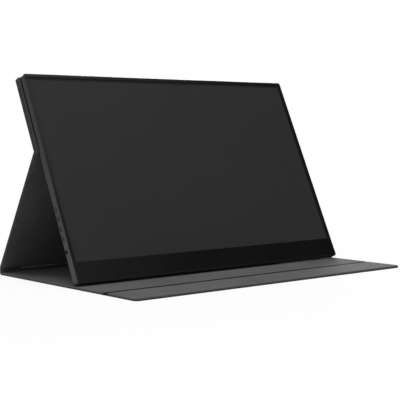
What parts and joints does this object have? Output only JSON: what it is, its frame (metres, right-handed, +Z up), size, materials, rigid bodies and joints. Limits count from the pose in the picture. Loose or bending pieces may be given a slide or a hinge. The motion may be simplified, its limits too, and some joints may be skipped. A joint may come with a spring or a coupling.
{
  "type": "portable monitor with cover",
  "caption": "Slim portable monitor held by magnets on a leather folio cover that folds into a stand; side buttons, headphone jack and video sockets.",
  "frame": {"origin": "on the table, under the middle of the object's width and depth", "axes": "+X along the width, the screen faces -Y and leans back, +Z up"},
  "size_m": [0.358, 0.235, 0.2058],
  "materials": {
    "cover_leather": "fine pebbled grain, matte",
    "cover_lining": "brushed soft lining, matte",
    "stiff_board": "plain, hidden",
    "housing_metal": "satin dark grey",
    "bezel_black": "high gloss black",
    "screen_film": "matt anti-glare film, switched off",
    "light_guide": "translucent white",
    "sheet_steel": "zinc plated",
    "screw_steel": "nickel plated",
    "circuit_board": "solder mask",
    "ribbon": "amber film",
    "socket_black": "moulded",
    "socket_shell": "nickel plated shell",
    "magnet": "nickel plated",
    "button_black": "satin black"
  },
  "bodies": {
    "base": {"base_leather": "cover_leather", "base_board": "stiff_board", "base_lining": "cover_lining", "base_fold": "cover_leather", "crease_fold": "cover_leather"},
    "front_strip": {"front_strip_leather": "cover_leather", "front_strip_board": "stiff_board", "front_strip_lining": "cover_lining"},
    "spine": {"spine_leather": "cover_leather", "spine_board": "stiff_board", "spine_lining": "cover_lining", "leg_fold": "cover_leather"},
    "leg": {"leg_leather": "cover_leather", "leg_board": "stiff_board", "leg_lining": "cover_lining", "back_fold": "cover_leather"},
    "back_panel": {"back_panel_leather": "cover_leather", "back_panel_board": "stiff_board", "back_panel_lining": "cover_lining", "cover_magnets": "magnet"},
    "monitor": {"rear_housing": "housing_metal", "front_bezel": "bezel_black", "display_panel": "screen_film", "backlight_unit": "light_guide", "panel_bracket": "sheet_steel", "bracket_screws": "screw_steel", "main_board": "circuit_board", "shield_can": "sheet_steel", "panel_driver_board": "circuit_board", "flex_cable": "ribbon", "button_board": "circuit_board", "audio_jack": "socket_black", "usb_c_socket_low": "socket_shell", "usb_c_socket_high": "socket_shell", "mini_hdmi_socket": "socket_shell", "monitor_magnets": "magnet"},
    "menu_button": {"menu_button": "button_black"},
    "minus_button": {"minus_button": "button_black"},
    "plus_button": {"plus_button": "button_black"},
    "power_button": {"power_button": "button_black"}
  },
  "joints": [
    {"name": "crease_hinge", "type": "hinge", "parent": "base", "child": "front_strip", "pos_m": [0, -0.0715, 0.00133], "axis": [-1, 0, 0], "range_deg": [0, 80]},
    {"name": "spine_hinge", "type": "hinge", "parent": "base", "child": "spine", "pos_m": [0, 0.1162, 0.00133], "axis": [-1, 0, 0], "range_deg": [0, 92.3]},
    {"name": "leg_hinge", "type": "hinge", "parent": "spine", "child": "leg", "pos_m": [0, 0.11591, 0.0084], "axis": [-1, 0, 0], "range_deg": [-10.5, 27.1]},
    {"name": "back_hinge", "type": "hinge", "parent": "leg", "child": "back_panel", "pos_m": [0, 0.04714, 0.12855], "axis": [-1, 0, 0], "range_deg": [-54.8, 21.3]},
    {"name": "magnet_slide", "type": "slide", "parent": "back_panel", "child": "monitor", "axis": [0, 0.4255, 0.905], "range_m": [0, 0.06]},
    {"name": "menu_press", "type": "slide", "parent": "monitor", "child": "menu_button", "axis": [1, 0, 0], "range_m": [0, 0.0004], "stiffness_N_per_m": 1000, "springref_m": -0.0005},
    {"name": "minus_press", "type": "slide", "parent": "monitor", "child": "minus_button", "axis": [1, 0, 0], "range_m": [0, 0.0004], "stiffness_N_per_m": 1000, "springref_m": -0.0005},
    {"name": "plus_press", "type": "slide", "parent": "monitor", "child": "plus_button", "axis": [1, 0, 0], "range_m": [0, 0.0004], "stiffness_N_per_m": 1000, "springref_m": -0.0005},
    {"name": "power_press", "type": "slide", "parent": "monitor", "child": "power_button", "axis": [1, 0, 0], "range_m": [0, 0.0004], "stiffness_N_per_m": 1000, "springref_m": -0.0005}
  ],
  "couplings": [
    {"joint": "back_hinge", "follows": "leg_hinge", "ratio": -2.02}
  ]
}
